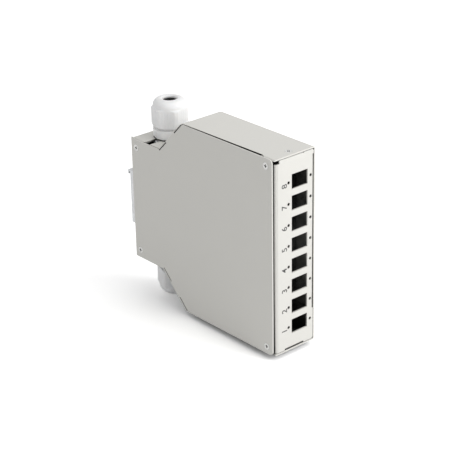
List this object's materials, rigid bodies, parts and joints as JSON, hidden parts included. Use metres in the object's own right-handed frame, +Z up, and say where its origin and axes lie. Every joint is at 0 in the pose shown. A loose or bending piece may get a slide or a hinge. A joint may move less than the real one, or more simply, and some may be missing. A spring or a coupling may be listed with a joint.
{
  "type": "din rail fibre box",
  "caption": "Slim sheet steel fibre connection box for a rail, with a front plate of adapter cut-outs, a screwed side cover, two cable glands and a sprung rail clip.",
  "frame": {"origin": "on the front face of the rail, at the middle of the box's width and of the rail's height", "axes": "+X along the rail, +Y from the box towards the rail, +Z up; the front plate faces -Y"},
  "size_m": [0.035, 0.1413, 0.1388],
  "materials": {
    "housing_paint": "light grey textured powder coat",
    "cover_paint": "light grey textured powder coat",
    "plate_paint": "off-white fine powder coat",
    "screw_steel": "zinc plated",
    "nut_steel": "zinc plated",
    "clip_zinc": "galvanised",
    "spring_steel": "drawn wire",
    "gland_plastic": "pale grey nylon, satin",
    "gasket_rubber": "black rubber",
    "holder_plastic": "black moulded",
    "clip_plastic": "natural nylon",
    "pad_foam": "grey adhesive foam"
  },
  "bodies": {
    "housing": {"housing_shell": "housing_paint", "side_cover": "cover_paint", "cover_screws": "screw_steel", "cover_nuts": "nut_steel", "front_plate": "plate_paint", "front_plate_screws": "screw_steel", "front_plate_nuts": "nut_steel", "rail_bracket": "clip_zinc", "latch_spring": "spring_steel", "bracket_screws": "screw_steel", "bracket_nuts": "nut_steel", "splice_holder": "holder_plastic", "splice_holder_pad": "pad_foam", "fibre_clips": "clip_plastic", "fibre_clip_pads": "pad_foam", "cable_tie_mounts": "clip_plastic", "cable_tie_mount_pads": "pad_foam", "top_gland_body": "gland_plastic", "top_gland_gasket": "gasket_rubber", "top_gland_locknut": "gland_plastic", "bottom_gland_body": "gland_plastic", "bottom_gland_gasket": "gasket_rubber", "bottom_gland_locknut": "gland_plastic"},
    "latch": {"rail_latch": "clip_zinc"},
    "top_seal": {"top_gland_seal": "gasket_rubber"},
    "top_nut": {"top_gland_nut": "gland_plastic"},
    "bottom_seal": {"bottom_gland_seal": "gasket_rubber"},
    "bottom_nut": {"bottom_gland_nut": "gland_plastic"}
  },
  "joints": [
    {"name": "latch_pull", "type": "slide", "parent": "housing", "child": "latch", "axis": [0, 0, -1], "range_m": [0, 0.004], "stiffness_N_per_m": 800, "springref_m": -0.004, "deforming": ["latch_spring"]},
    {"name": "top_seal_press", "type": "slide", "parent": "housing", "child": "top_seal", "axis": [0, 0, 1], "range_m": [-0.00151, 0.00301]},
    {"name": "top_nut_turn", "type": "hinge", "parent": "top_seal", "child": "top_nut", "pos_m": [0.0035, -0.0185, 0.0512], "axis": [0, 0, 1], "range_deg": [-360, 720]},
    {"name": "bottom_seal_press", "type": "slide", "parent": "housing", "child": "bottom_seal", "axis": [0, 0, -1], "range_m": [-0.00151, 0.00301]},
    {"name": "bottom_nut_turn", "type": "hinge", "parent": "bottom_seal", "child": "bottom_nut", "pos_m": [0.0035, -0.0185, -0.0512], "axis": [0, 0, -1], "range_deg": [-360, 720]}
  ],
  "couplings": [
    {"joint": "top_seal_press", "follows": "top_nut_turn", "m_per_rad": 0.00023873},
    {"joint": "bottom_seal_press", "follows": "bottom_nut_turn", "m_per_rad": 0.00023873}
  ]
}
